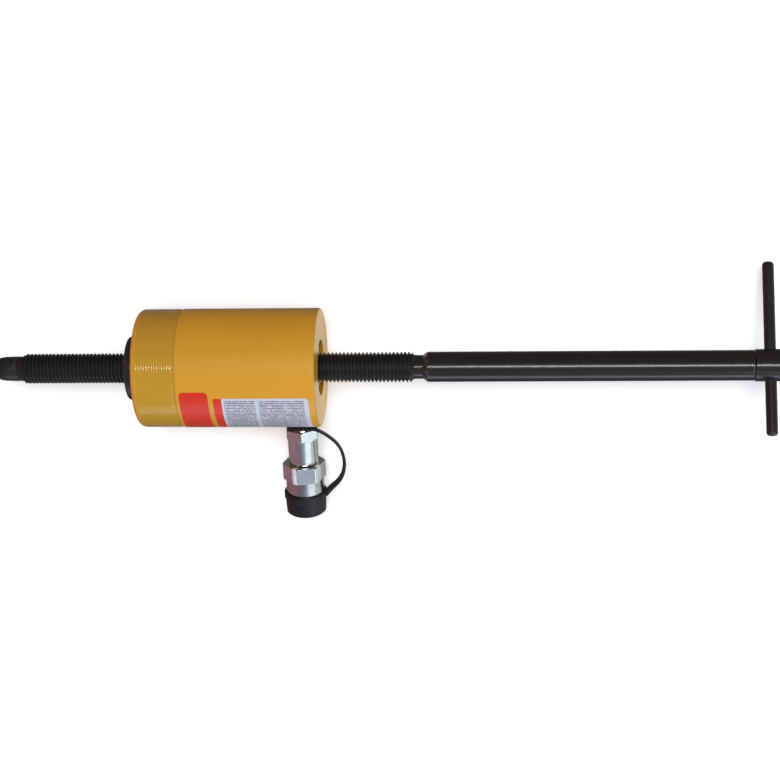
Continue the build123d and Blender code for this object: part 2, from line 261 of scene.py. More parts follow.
# ------------------------------------------------------------------ material helpers
class Mat:
    def __init__(self, name):
        self.m = bpy.data.materials.new(name)
        self.m.use_nodes = True
        self.t = self.m.node_tree
        self.b = self.t.nodes["Principled BSDF"]

    def n(self, kind, **kw):
        node = self.t.nodes.new(kind)
        for k, v in kw.items():
            if k.startswith("i_"):
                node.inputs[int(k[2:])].default_value = v
            elif k in node.inputs:
                node.inputs[k].default_value = v
            else:
                setattr(node, k, v)
        return node

    def link(self, a, b):
        self.t.links.new(a, b)

    def coord(self):
        return self.n("ShaderNodeTexCoord").outputs["Object"]

    def noise(self, scale, detail=4.0, rough=0.55, vec=None, stretch=None, dist=0.0):
        v = vec or self.coord()
        if stretch:
            mp = self.n("ShaderNodeMapping")
            mp.inputs["Scale"].default_value = stretch
            self.link(v, mp.inputs["Vector"])
            v = mp.outputs[0]
        t = self.n("ShaderNodeTexNoise")
        t.inputs["Scale"].default_value = scale
        t.inputs["Detail"].default_value = detail
        t.inputs["Roughness"].default_value = rough
        t.inputs["Distortion"].default_value = dist
        self.link(v, t.inputs["Vector"])
        return t.outputs["Fac"]

    def ramp(self, fac, *stops, mode="LINEAR"):
        r = self.n("ShaderNodeValToRGB")
        r.color_ramp.interpolation = mode
        while len(r.color_ramp.elements) < len(stops):
            r.color_ramp.elements.new(0.5)
        for e, (p, c) in zip(r.color_ramp.elements, stops):
            e.position = p
            e.color = (c, c, c, 1) if isinstance(c, (int, float)) else (*c, 1)
        self.link(fac, r.inputs[0])
        return r.outputs[0]

    def math(self, op, a, b=None, clamp=False):
        m = self.n("ShaderNodeMath", operation=op, use_clamp=clamp)
        for i, v in enumerate((a, b)):
            if v is None:
                continue
            if isinstance(v, (int, float)):
                m.inputs[i].default_value = v
            else:
                self.link(v, m.inputs[i])
        return m.outputs[0]

    def mix(self, fac, a, b):
        m = self.n("ShaderNodeMix", data_type="RGBA")
        for i, v in ((0, fac), (6, a), (7, b)):
            if isinstance(v, (int, float)):
                m.inputs[i].default_value = v
            elif isinstance(v, tuple):
                m.inputs[i].default_value = (*v, 1)
            else:
                self.link(v, m.inputs[i])
        return m.outputs[2]

    def attr(self, name):
        return self.n("ShaderNodeAttribute", attribute_name=name).outputs["Fac"]

    def bump(self, height, strength=0.2, distance=0.0002):
        b = self.n("ShaderNodeBump")
        b.inputs["Strength"].default_value = strength
        b.inputs["Distance"].default_value = distance
        self.link(height, b.inputs["Height"])
        self.link(b.outputs[0], self.b.inputs["Normal"])

    def put(self, socket, v):
        s = self.b.inputs[socket]
        if isinstance(v, (int, float)):
            s.default_value = v
        elif isinstance(v, tuple):
            s.default_value = (*v, 1) if len(v) == 3 else v
        else:
            self.link(v, s)
        return self


def srgb(r, g, b):
    return tuple(((c / 255 + 0.055) / 1.055) ** 2.4 if c / 255 > 0.04045 else c / 255 / 12.92 for c in (r, g, b))


def scaled(c, k):
    return tuple(min(1.0, x * k) for x in c)


def give(o, mat):
    o.data.materials.clear()
    o.data.materials.append(mat.m if isinstance(mat, Mat) else mat)
    return o


def point_attr(o, name, values):
    a = o.data.attributes.new(name, "FLOAT", "POINT")
    a.data.foreach_set("value", np.asarray(values, np.float32))


def mesh_xr(o):
    co = np.zeros(len(o.data.vertices) * 3, np.float32)
    o.data.vertices.foreach_get("co", co)
    co = co.reshape(-1, 3) / MM
    return co[:, 0], np.hypot(co[:, 1], co[:, 2]), co


# ================================================================== materials
def paint(name, base):
    m = Mat(name)
    big = m.noise(9, 3)
    fine = m.noise(260, 3)
    c = m.mix(m.ramp(big, (0.35, 0.0), (0.7, 1.0)), scaled(base, 0.95), scaled(base, 1.05))
    c = m.mix(m.math("MULTIPLY", m.ramp(fine, (0.45, 0.0), (0.75, 1.0)), 0.08), c, scaled(base, 0.72))
    # olive on the threaded band: an oil film plus painted shade of the threads' own shadow; the tint shifts from the
    # +Y side to the -Y side
    place = m.n("ShaderNodeSeparateXYZ")
    m.link(m.coord(), place.inputs[0])
    side = m.math("ADD", m.math("MULTIPLY", place.outputs[1], -10.0), 0.5)
    olive_film_and_shade = m.mix(m.ramp(side, (0.10, 0.0), (0.85, 1.0)), (base[0] * 0.78, base[1] * 0.84, base[2] * 1.15),
                  (base[0] * 0.71, base[1] * 0.86, base[2] * 0.80))
    c = m.mix(m.math("MULTIPLY", m.attr("band"), m.ramp(m.noise(55, 4), (0.25, 0.80), (0.75, 1.0))), c, olive_film_and_shade)
    # painted shade darkening thread roots, grooves and the counterbore, and bare metal on worn edges
    c = m.mix(m.math("MULTIPLY", m.attr("recess_shade"), 0.55), c, scaled(base, 0.34))
    stain = m.ramp(m.noise(26, 5, 0.7, dist=0.6), (0.66, 0.0), (0.80, 1.0))
    c = m.mix(m.math("MULTIPLY", stain, 0.16), c, scaled(base, 0.55))
    wear = m.math("MULTIPLY", m.attr("edge"), m.ramp(m.noise(420, 5, 0.7), (0.60, 0.0), (0.66, 1.0)))
    scratches = m.ramp(m.noise(34, 6, 0.75, stretch=(1.2, 6.0, 6.0), dist=1.2), (0.71, 0.0), (0.745, 1.0))
    wear = m.math("MAXIMUM", wear, m.math("MULTIPLY", scratches, m.math("MULTIPLY", m.attr("rub"), 0.5)))
    c = m.mix(wear, c, (0.26, 0.21, 0.13))
    m.put("Base Color", c)
    rough = m.math("ADD", m.math("MULTIPLY", m.noise(60, 3), 0.14), 0.34)
    # the oily band is the smoother part of the paint
    rough = m.math("MULTIPLY", rough, m.math("SUBTRACT", 1.0, m.math("MULTIPLY", m.attr("band"), 0.58)))
    m.put("Roughness", m.math("ADD", rough, m.math("MULTIPLY", wear, 0.12)))
    m.put("Metallic", m.math("MULTIPLY", wear, 0.6))
    m.b.inputs["Specular IOR Level"].default_value = 0.22
    m.b.inputs["Coat Weight"].default_value = 0.17
    m.b.inputs["Coat Roughness"].default_value = 0.10
    m.bump(m.math("ADD", m.noise(900, 2), m.math("MULTIPLY", m.noise(160, 2), 1.5)), 0.12, 0.0001)
    return m


YELLOW = srgb(203, 148, 44)
MAT_YELLOW = paint("yellow_enamel", YELLOW)


def black_oxide(name, base=(0.0125, 0.012, 0.0105), rough=0.22, lathe=True, gloss=0.5):
    m = Mat(name)
    v = m.noise(16, 4)
    c = m.mix(v, scaled(base, 0.8), scaled(base, 1.35))
    rust = m.ramp(m.noise(48, 6, 0.65), (0.62, 0.0), (0.76, 1.0))
    c = m.mix(m.math("MULTIPLY", rust, 0.06), c, (0.045, 0.028, 0.018))
    edge = m.math("MULTIPLY", m.attr("edge"), m.ramp(m.noise(300, 5, 0.7), (0.46, 0.0), (0.66, 1.0)))
    c = m.mix(m.math("MULTIPLY", edge, 0.55), c, (0.20, 0.19, 0.18))
    # painted shade: recesses darkened to near black
    c = m.mix(m.math("MULTIPLY", m.attr("recess_shade"), 0.6), c, (0.006, 0.0055, 0.005))
    m.put("Base Color", c)
    m.put("Metallic", m.math("MULTIPLY", edge, 0.6))
    m.put("Roughness", m.math("ADD", m.math("MULTIPLY", m.noise(70, 4), 0.12), rough - 0.05))
    m.b.inputs["Specular IOR Level"].default_value = gloss
    h = m.noise(130, 3, stretch=(14.0, 0.6, 0.6)) if lathe else m.noise(500, 4)
    m.bump(m.math("ADD", h, m.math("MULTIPLY", m.noise(1100, 2), 0.4)), 0.05 if lathe else 0.12, 0.00005)
    return m


MAT_BLACK = black_oxide("black_oxide_shaft", rough=0.20)
MAT_BLACK_THREAD = black_oxide("black_oxide_thread", base=(0.0118, 0.0113, 0.0102), rough=0.42, gloss=0.36)
MAT_BLACK_BAR = black_oxide("black_oxide_bar", base=(0.0105, 0.0094, 0.0082), rough=0.34, lathe=False)
MAT_SADDLE = black_oxide("black_oxide_saddle", base=(0.0105, 0.0105, 0.011), rough=0.34)


def zinc(name, tint=(0.62, 0.64, 0.63), rough=0.20):
    m = Mat(name)
    c = m.mix(m.noise(40, 4), scaled(tint, 0.85), scaled(tint, 1.12))
    cloud = m.ramp(m.noise(140, 5, 0.7), (0.50, 0.0), (0.72, 1.0))
    c = m.mix(m.math("MULTIPLY", cloud, 0.35), c, (tint[0] * 0.65, tint[1] * 0.63, tint[2] * 0.59))
    # painted shade: recesses darkened
    c = m.mix(m.math("MULTIPLY", m.attr("recess_shade"), 0.6), c, (0.10, 0.095, 0.085))
    # corners rubbed bright by spanners, plus a painted highlight: bright non-metal colour where the coupler sleeve's
    # lands catch the light
    rubbed_and_highlight = m.math("MULTIPLY", m.attr("edge"), m.ramp(m.noise(190, 4, 0.6), (0.30, 0.72), (0.55, 1.0)))
    c = m.mix(m.math("MULTIPLY", rubbed_and_highlight, 0.85), c, (0.86, 0.89, 0.89))
    m.put("Base Color", c)
    m.put("Metallic", m.math("SUBTRACT", 1.0, m.math("MULTIPLY", rubbed_and_highlight, 0.8)))
    m.put("Roughness", m.math("ADD", m.math("MULTIPLY", m.noise(220, 4), 0.16), rough - 0.05))
    m.bump(m.math("ADD", m.noise(700, 4), m.math("MULTIPLY", cloud, 0.3)), 0.08, 0.00006)
    return m


MAT_ZINC = zinc("zinc_plate")
MAT_STEEL = zinc("machined_steel", (0.50, 0.50, 0.51), 0.30)
# dark olive tint, kept about as dark as the counterbore around the tube's flange
MAT_TUBE = zinc("dark_olive_steel", (0.20, 0.165, 0.095), 0.50)
MAT_CHROME = zinc("hard_chrome", (0.72, 0.73, 0.75), 0.14)
MAT_BRONZE = zinc("bearing_bronze", (0.50, 0.30, 0.11), 0.34)
MAT_SPRING = zinc("oiled_spring_steel", (0.16, 0.16, 0.17), 0.34)


def rubber(name, base=(0.0062, 0.0060, 0.0072), rough=0.46):
    m = Mat(name)
    c = m.mix(m.noise(30, 4), scaled(base, 0.8), scaled(base, 1.6))
    dust = m.ramp(m.noise(180, 6, 0.7), (0.55, 0.0), (0.80, 1.0))
    c = m.mix(m.math("MULTIPLY", dust, 0.14), c, (0.07, 0.066, 0.066))
    m.put("Base Color", c)
    m.put("Roughness", m.math("ADD", m.math("MULTIPLY", m.noise(90, 4), 0.18), rough - 0.08))
    m.b.inputs["Specular IOR Level"].default_value = 0.36
    m.bump(m.math("ADD", m.noise(900, 3), m.math("MULTIPLY", m.noise(240, 3), 0.6)), 0.16, 0.00008)
    return m


MAT_RUBBER = rubber("moulded_rubber")
MAT_SEAL = rubber("seal_rubber", (0.010, 0.010, 0.010), 0.55)


def vinyl(name, base, rules=None):
    """Printed film. rules: (colour, columns as x ranges in mm, angle range in degrees)."""
    m = Mat(name)
    c = m.mix(m.noise(60, 4), scaled(base, 0.95), scaled(base, 1.04))
    fade = m.ramp(m.noise(300, 5, 0.65), (0.58, 0.0), (0.78, 1.0))
    c = m.mix(m.math("MULTIPLY", fade, 0.10), c, scaled(base, 0.6))
    if rules:
        colour, columns, (low, high) = rules
        sep = m.n("ShaderNodeSeparateXYZ")
        m.link(m.coord(), sep.inputs[0])
        angle = m.math("ARCTAN2", sep.outputs[2], m.math("MULTIPLY", sep.outputs[1], -1.0))
        along_arc = m.math("MULTIPLY", angle, R_BODY / 1.78)
        line = m.math("LESS_THAN", m.math("FRACT", along_arc), 0.58)
        inside = m.math("MULTIPLY", m.math("GREATER_THAN", angle, math.radians(low)), m.math("LESS_THAN", angle, math.radians(high)))
        across_x = None
        for x0, x1 in columns:
            one = m.math("MULTIPLY", m.math("GREATER_THAN", sep.outputs[0], x0 * MM), m.math("LESS_THAN", sep.outputs[0], x1 * MM))
            across_x = one if across_x is None else m.math("ADD", across_x, one)
        mask = m.math("MULTIPLY", m.math("MULTIPLY", line, inside), across_x)
        # the rules are broken into plain dashes
        place = m.n("ShaderNodeCombineXYZ")
        m.link(m.math("MULTIPLY", sep.outputs[0], 720.0), place.inputs[0])
        m.link(m.math("MULTIPLY", m.math("FLOOR", along_arc), 5.17), place.inputs[1])
        dash = m.math("GREATER_THAN", m.noise(1.0, 0.0, 0.5, vec=place.outputs[0]), 0.38)
        c = m.mix(m.math("MULTIPLY", m.math("MULTIPLY", mask, dash), 0.85), c, colour)
    m.put("Base Color", c)
    m.put("Roughness", m.math("ADD", m.math("MULTIPLY", m.noise(120, 3), 0.12), 0.33))
    m.b.inputs["Specular IOR Level"].default_value = 0.34
    m.bump(m.noise(500, 3), 0.06, 0.00005)
    return m


MAT_RED = vinyl("label_red_vinyl", srgb(199, 47, 24))
MAT_PALE = vinyl("label_pale_vinyl", srgb(188, 193, 206), (srgb(76, 79, 90), ((-74.6, -49.6), (-46.6, -9.4)), (13.5, 65.6)))

# ================================================================== barrel
TPI12 = IN / 12
corner = quarter(-L_BODY, R_COLLAR, 5.8, 4.5, 24)
lead = corner[15:] + [(0, R_COLLAR)]
collar = thread_rows(lead[0][0], -116.0, TPI12, R_COLLAR, R_COLLAR - 0.14, lead,
                     [(-150, R_COLLAR), (-116.9, R_COLLAR), (-116.0, R_COLLAR - 0.55)], crest=0.20, root=0.14)
outline = [(-L_BODY, 36.6), (-L_BODY, 40.0), *corner[:16]]
after = rounded([
    (-116.0, R_COLLAR - 0.55, 0.0), (-114.4, R_COLLAR - 0.55, 0.25), (-113.7, R_BODY, 0.35), (-110.0, R_BODY, 0),
    (-3.6, R_BODY, 0), (0, R_BODY, 2.2),
    (0, R_CBORE, 0.7), (-D_CBORE, R_CBORE, 0.4), (-D_CBORE, 17.45, 0.2), (-16.0, 17.45, 0.3), (-16.0, R_BORE, 0.8),
    (-128.3, R_BORE, 0.2), (-128.8, 36.6, 0.1), (-L_BODY, 36.6, 0.0)], closed=False)


barrel = revolve_mesh("barrel", [*outline[:-1], collar, *dense(after)[:-1]], 288)
spot = plain_rod("spot", W_FLAT, 60, 15.6, COUPLER_M)
hole = plain_rod("hole", 30, 60, 8.42, COUPLER_M)
cut(barrel, spot, hole)
x, r, co = mesh_xr(barrel)
outside = r > 46
in_band = (x > -148.5) & (x < -115.9) & (r > 47.5)
# painted shade: thread roots, the groove behind the collar and the counterbore are marked to be darkened
root = np.clip((np.interp(x, *zip(*lead)) - 0.04 - r) / 0.10, 0, 1) * in_band
groove = ((x > -116.1) & (x < -113.9) & (r < R_BODY - 0.25) & (r > 48)).astype(float)
point_attr(barrel, "recess_shade", np.maximum(root * 0.06, groove * 0.12) + ((r < R_CBORE + 0.05) & (x > -D_CBORE - 0.1)) * 0.22)
point_attr(barrel, "band", ((x > -146.4) & (x < -114.2) & (r > 47.0)).astype(float))
edge = np.exp(-((x + 0.6) / 1.2) ** 2) * outside + np.exp(-((x + L_BODY - 1.5) / 2.2) ** 2) * (r > 40) \
    + np.exp(-((x + 113.5) / 0.5) ** 2) * outside * 0.6
point_attr(barrel, "edge", np.clip(edge, 0, 1))
point_attr(barrel, "rub", outside * 1.0)
smooth(barrel, 38)
give(barrel, MAT_YELLOW)
keep(barrel, "ram", "yellow_paint", "cylinder_body")


# ------------------------------------------------------------------ labels: plain fields, no lettering
def label(name, x0, x1, th0, th1, corners, mat, rules=(), t=0.12, lift=0.0):
    """Curved film on the barrel. corners: radii (top left, top right, bottom right, bottom left)."""
    R = R_BODY + lift
    H = math.radians(th0 - th1) * R
    tl, tr, br, bl = corners
    rows = sorted(set(
        [H * i / 64 for i in range(65)] + [max(tl, tr) * (1 - math.cos(a * math.pi / 16)) for a in range(9)]
        + [H - max(bl, br) * (1 - math.cos(a * math.pi / 16)) for a in range(9)]))

    def inset(d, rad):
        return 0.0 if rad <= 0 or d >= rad else rad - math.sqrt(max(0, rad * rad - (rad - d) ** 2))
    cols = 72
    verts, rule = [], []
    for s in rows:
        a = max(inset(s, tl), inset(H - s, bl))
        b = max(inset(s, tr), inset(H - s, br))
        th = th0 - math.degrees(s / R)
        d = across(th)
        for k in range(cols + 1):
            x = x0 + a + (x1 - b - x0 - a) * k / cols
            verts.append((x, d * (R + t), th, s))
    n = len(rows)
    v = [(q[0], q[1].y, q[1].z) for q in verts]
    v += [(q[0], across(q[2]).y * (R + 0.002), across(q[2]).z * (R + 0.002)) for q in verts]
    m = (cols + 1) * n
    f = []
    for i in range(n - 1):
        for k in range(cols):
            a = i * (cols + 1) + k
            f.append((a, a + 1, a + cols + 2, a + cols + 1))
            f.append((a + m, a + cols + 1 + m, a + cols + 2 + m, a + 1 + m))
    rim = [k for k in range(cols + 1)] + [i * (cols + 1) + cols for i in range(1, n)] \
        + [(n - 1) * (cols + 1) + k for k in range(cols - 1, -1, -1)] + [i * (cols + 1) for i in range(n - 2, 0, -1)]
    for a, b in zip(rim, rim[1:] + rim[:1]):
        f.append((b, a, a + m, b + m))
    me = bpy.data.meshes.new(name)
    me.from_pydata([tuple(c * MM for c in p) for p in v], [], f)
    bm = bmesh.new()
    bm.from_mesh(me)
    bmesh.ops.remove_doubles(bm, verts=bm.verts, dist=1e-6)
    bmesh.ops.recalc_face_normals(bm, faces=bm.faces)
    bm.to_mesh(me)
    bm.free()
    o = bpy.data.objects.new(name, me)
    bpy.context.scene.collection.objects.link(o)
    smooth(o, 40, False)
    give(o, mat)
    return o


red = label("label_patch", -111.3, -87.6, 74.6, 6.0, (3.6, 3.6, 2.6, 2.6), MAT_RED)
keep(red, "ram", "label_red", "label_patch_red")
strip = label("label_strip", -83.7, -76.75, 67.8, 6.0, (1.2, 0, 0, 1.2), MAT_RED)
keep(strip, "ram", "label_red", "label_strip_red")
pale = label("label_panel", -76.6, -5.6, 68.0, 10.0, (0, 3.2, 3.2, 0), MAT_PALE)
keep(pale, "ram", "label_pale", "label_panel_pale")

# ================================================================== forcing screw
R_ROOT = R_THREAD - 0.52 * PITCH
thread = thread_rows(X_THREAD_L, X_THREAD_R + 2.0, PITCH, R_THREAD, R_ROOT,
                     [(X_THREAD_L - 1, 10.35), (X_THREAD_L, 10.4), (X_THREAD_L + 2.2, R_THREAD), (400, R_THREAD)],
                     [(-400, R_THREAD), (X_THREAD_R, R_THREAD), (X_THREAD_R + 2.0, R_THREAD - 1.95)], crest=0.20, root=0.20)
left = rounded([(-255.0, 5.0, 0.0), (-255.0, 10.1, 0.4), (X_THREAD_L, 10.4, 0.0)], closed=False)
right = rounded([
    (X_THREAD_R + 2.0, R_THREAD - 1.95, 0.0), (77.6, 9.85, 0.4), (85.0, 9.85, 0.9), (88.6, R_SHAFT, 0.5), (90.6, R_SHAFT, 0),
    (X_HUB_L - 3.0, R_SHAFT, 0), (X_HUB_L - 0.6, R_SHAFT, 0.6), (X_HUB_L - 0.6, 8.0, 0.2), (X_HUB_L + STUB, 8.0, 0.3), (X_HUB_L + STUB, 0)], closed=False)
stub = [(-268.0, 0), (-268.0, 4.6), (-267.6, 5.0), (-261.2, 5.0), (-261.2, 4.3), (-260.0, 4.3), (-260.0, 5.0)]
screw = revolve_mesh("forcing_screw_turned", [*stub, *left[:-1], thread, *dense(right, 8.0)[1:]], 96, closed=False)
x, r, co = mesh_xr(screw)
in_thread = (x > X_THREAD_L) & (x < X_THREAD_R + 2)
# painted shade: thread roots are marked to be darkened
point_attr(screw, "recess_shade", np.clip((R_THREAD - 0.5 - r) / 1.2, 0, 1) * in_thread * 0.5)
point_attr(screw, "edge", np.clip(in_thread * (r > R_THREAD - 0.12) * 0.15 + np.exp(-((x - 88.4) / 0.7) ** 2) * 0.8
                                  + np.exp(-((x - X_HUB_L + 1.2) / 0.5) ** 2) * 0.5, 0, 1))
smooth(screw, 40)
give(screw, MAT_BLACK)
screw.data.materials.append(MAT_BLACK_THREAD.m)
mx = np.zeros(len(screw.data.polygons) * 3, np.float32)
screw.data.polygons.foreach_get("center", mx)
px = mx.reshape(-1, 3)[:, 0] / MM
screw.data.polygons.foreach_set("material_index", ((px < X_THREAD_R + 2.1)).astype(np.int32))
keep(screw, "screw", "black_oxide", "forcing_screw")

hub = revolve_mesh("handle_hub_turned", rounded([
    (X_HUB_L, 8.0, 0.0), (X_HUB_L, R_HUB, 0.5), (X_HUB_L + 2.0, R_HUB, 0), (X_HUB_R - 3.5, R_HUB, 0), (X_HUB_R, R_HUB, 1.4), (X_HUB_R, 2.9, 0.3), (X_HUB_R - 3.9, 2.9, 0.0),
    (X_HUB_R - 3.9, 1.7, 0.0), (X_HUB_L + STUB + 0.1, 1.7, 0.0), (X_HUB_L + STUB + 0.1, 8.0, 0.0)]), 160)
cut(hub, plain_rod("bar_way", -30, 30, R_BAR + 0.05, BAR_M))
x, r, co = mesh_xr(hub)
point_attr(hub, "edge", np.clip(np.exp(-((x - X_HUB_L) / 0.6) ** 2) * (r > 12) + np.exp(-((x - X_HUB_R + 0.5) / 1.0) ** 2) * (r > 11), 0, 1) * 0.6)
# painted shade: the bore is marked to be darkened
point_attr(hub, "recess_shade", (r < 8.2) * 0.5)
smooth(hub, 35)
give(hub, MAT_BLACK)
keep(hub, "screw", "black_oxide", "handle_hub")

bar = revolve_mesh("t_bar_turned", dense([
    (-BAR_DOWN, 0), *quarter(-BAR_DOWN, R_BAR, 2.8, 2.8, 8), (-BAR_DOWN + 5, R_BAR), (BAR_UP - 5, R_BAR),
    *reversed(quarter(BAR_UP, R_BAR, -2.8, 2.4, 8)), (BAR_UP, 0)], 4.0), 72, BAR_M, closed=False)
inv = BAR_M.inverted()
local = np.array([tuple(inv @ v.co) for v in bar.data.vertices]) / MM
lr = np.hypot(local[:, 1], local[:, 2])
point_attr(bar, "edge", np.clip(np.exp(-((local[:, 0] + BAR_DOWN) / 1.6) ** 2) * 1.3 + np.exp(-((local[:, 0] - BAR_UP) / 0.9) ** 2) * 0.4, 0, 1))
point_attr(bar, "recess_shade", np.zeros(len(local)))
smooth(bar, 35)
give(bar, MAT_BLACK_BAR)
keep(bar, "handle_bar", "black_oxide", "t_bar")

tip = revolve_mesh("swivel_tip_turned", rounded([
    (-255.15, 5.05, 0.0), (-255.15, 10.4, 0.5), (-266.0, 10.1, 0.8), (-270.5, 9.4, 0.8), (-283.0, 2.0, 1.4), (-284.0, 0)], closed=False)
    + [(-276.1, 0), (-276.1, 5.05)], 128)
x, r, co = mesh_xr(tip)
point_attr(tip, "edge", np.clip(np.exp(-((x + 283.0) / 1.5) ** 2) + np.exp(-((x + 255.4) / 0.5) ** 2) * 0.6, 0, 1))
point_attr(tip, "recess_shade", np.zeros(len(x)))
smooth(tip, 35)
give(tip, MAT_SADDLE)
keep(tip, "tip", "black_oxide", "swivel_tip")

# ================================================================== plunger end
saddle = revolve_mesh("saddle_turned", rounded([
    (-161.0, 13.9, 0.4), (-161.0, 26.66, 2.4), (-151.0, 26.66, 0.5), (-151.0, 19.5, 0.0), (-133.0, 19.5, 0.8), (-133.0, 13.9, 0.3),
    (-134.2, 12.5, 0.2), (-159.6, 12.5, 0.2)]), 160)
x, r, co = mesh_xr(saddle)
point_attr(saddle, "edge", np.clip(np.exp(-((x + 160.2) / 1.0) ** 2) * (r > 23), 0, 1) * 0.7)
# painted shade: the bore is marked to be darkened
point_attr(saddle, "recess_shade", (r < 13.5) * 0.6)
smooth(saddle, 35)
give(saddle, MAT_SADDLE)
keep(saddle, "plunger_set", "black_saddle", "saddle")

# ================================================================== coupler
def milled(o, matrix, w0, w1, apothem, turn, soft=0.35):
    """Six flats on a turned piece. One flat faces turn degrees from the local Z towards the local Y."""
    inv = matrix.inverted()
    for v in o.data.vertices:
        q = inv @ v.co / MM
        if w0 - 1e-4 <= q.x <= w1 + 1e-4:
            near = min(q.x - w0, w1 - q.x, soft)
            limit = apothem - (soft - math.sqrt(max(0.0, soft ** 2 - (soft - near) ** 2)))
            d = (math.degrees(math.atan2(q.y, q.z)) - turn + 30) % 60 - 30
            k = limit / math.cos(math.radians(d)) / math.hypot(q.y, q.z)
            if k < 1 and math.hypot(q.y, q.z) > 15.9:
                v.co = matrix @ (Vector((q.x, q.y * k, q.z * k)) * MM)
    o.data.update()


sleeve = revolve_mesh("union_sleeve_turned", rounded([
    (86.45, 10.05, 0.3), (86.45, 18.25, 0.9), (100.5, 18.25, 0.6), (100.5, 16.0, 0.1), (124.0, 16.0, 0.8), (124.0, 13.8, 0.5),
    (94.0, 13.8, 0.2), (94.0, 14.4, 0.2), (91.2, 14.4, 0.2), (91.2, 10.05, 0.2)], steps=8), 360, COUPLER_M)
milled(sleeve, COUPLER_M, 86.45, 100.5, 16.4, 11.3)
local = np.array([tuple(COUPLER_M.inverted() @ v.co) for v in sleeve.data.vertices]) / MM
lr = np.hypot(local[:, 1], local[:, 2])
# painted shade: the bore and the step at the end of the flats are marked to be darkened
point_attr(sleeve, "recess_shade", np.clip((lr < 14.5) * 0.5 + (np.abs(local[:, 0] - 100.5) < 0.12) * (lr < 16.3) * 0.5, 0, 1))
# painted highlight: the two corners either side of one flat, and a patch of the next flat, are painted bright where
# they catch the light; the other corners are rubbed lighter by spanners
round_ring = (np.degrees(np.arctan2(local[:, 1], local[:, 2])) - 11.3 + 180) % 360 - 180
on_ring = (local[:, 0] > 86.3) & (local[:, 0] < 100.6) & (lr > 16.25)
highlight_lands = np.interp(round_ring, [-42, -39, -26.5, -25.5], [0, 1, 1, 0]) + np.interp(round_ring, [31, 34, 46, 60], [0, 0.9, 0.8, 0])
others = np.clip((lr - 17.9) / 0.3, 0, 1) * (np.abs(round_ring) > 62) * 0.35
point_attr(sleeve, "edge", np.clip(highlight_lands * on_ring + others, 0, 1))
smooth(sleeve, 20)
give(sleeve, MAT_ZINC)
keep(sleeve, "coupler_union", "zinc_plate", "coupler_sleeve")

cap = revolve_mesh("dust_cap_moulded", rounded([
    (112.9, 16.05, 0.4), (112.9, 18.15, 0.8), (118.3, 18.15, 0.9), (118.9, 17.35, 0.5), (131.2, 16.75, 0.0), (132.7, 15.2, 1.2),
    (132.7, 0), (129.4, 0), (129.4, 15.8, 0.4), (128.7, 16.05, 0.3)]), 160, COUPLER_M)
smooth(cap, 40)
give(cap, MAT_RUBBER)
keep(cap, "cap", "cap_rubber", "dust_cap")

ring = revolve_mesh("strap_ring_moulded", rounded([
    (49.6, 10.7, 0.6), (49.6, 14.0, 0.9), (52.3, 14.0, 0.9), (52.3, 10.7, 0.6)]), 96, COUPLER_M)
smooth(ring, 40)
give(ring, MAT_RUBBER)
keep(ring, "ram", "cap_rubber", "strap_ring")


def strap_path(points, n):
    """Smooth curve through the points (Catmull-Rom), n samples, with its tangents."""
    p = [np.array(q, float) for q in points]
    p = [2 * p[0] - p[1]] + p + [2 * p[-1] - p[-2]]
    out = []
    for i in range(1, len(p) - 2):
        for k in range(24):
            t = k / 24
            a, b, c, d = p[i - 1], p[i], p[i + 1], p[i + 2]
            out.append(0.5 * ((2 * b) + (-a + c) * t + (2 * a - 5 * b + 4 * c - d) * t * t + (-a + 3 * b - 3 * c + d) * t ** 3))
    out.append(p[-2])
    out = np.array(out)
    s = np.r_[0, np.cumsum(np.linalg.norm(np.diff(out, axis=0), axis=1))]
    u = np.linspace(0, s[-1], n)
    q = np.stack([np.interp(u, s, out[:, k]) for k in range(3)], -1)
    return q, np.gradient(q, axis=0)


pts = [(51.2, 4.0, 11.6), (51.5, 12.0, 11.3), (54.9, 18.0, 9.5), (60.9, 24.0, 6.5), (67.9, 29.5, 4.0), (76.7, 33.1, 2.0), (87.0, 34.4, 0.4),
       (96.4, 33.0, 0), (104.0, 28.9, 0), (110.4, 22.6, 0), (114.6, 18.6, 0), (116.2, 17.2, 0)]
q, tan = strap_path(pts, 130)
sec = 20
V = []
for i, (c, t) in enumerate(zip(q, tan)):
    t = t / np.linalg.norm(t)
    side = np.array((0.0, 0.0, 1.0)) - t * t[2]
    side = side / np.linalg.norm(side)
    nrm = np.cross(side, t)
    f = i / (len(q) - 1)
    th = np.interp(f, [0, 0.42, 0.56, 0.7, 0.86, 1], [1.1, 1.1, 1.3, 1.7, 2.25, 2.5])   # half thickness
    wd = np.interp(f, [0, 0.5, 0.88, 1], [2.0, 2.3, 2.7, 4.0])                          # half width
    for k in range(sec):
        a = 2 * math.pi * k / sec
        ca, sa = math.cos(a), math.sin(a)
        e = 2 / 3.4
        u = math.copysign(abs(ca) ** e, ca) * th
        w = math.copysign(abs(sa) ** e, sa) * wd
        V.append(tuple(c + nrm * u + side * w))
F = []
for i in range(len(q) - 1):
    for k in range(sec):
        a, b = i * sec + k, i * sec + (k + 1) % sec
        F.append((a, b, b + sec, a + sec))
F.append(tuple(range(sec)))
F.append(tuple((len(q) - 1) * sec + k for k in range(sec - 1, -1, -1)))
me = bpy.data.meshes.new("cap_strap_moulded")
me.from_pydata([tuple(c * MM for c in v) for v in V], [], F)
bm = bmesh.new(); bm.from_mesh(me)
bmesh.ops.recalc_face_normals(bm, faces=bm.faces)
bm.to_mesh(me); bm.free()
me.transform(COUPLER_M)
strap = bpy.data.objects.new("cap_strap_moulded", me)
bpy.context.scene.collection.objects.link(strap)
smooth(strap, 50, False)
give(strap, MAT_RUBBER)
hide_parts("cap_strap")
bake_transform(strap)
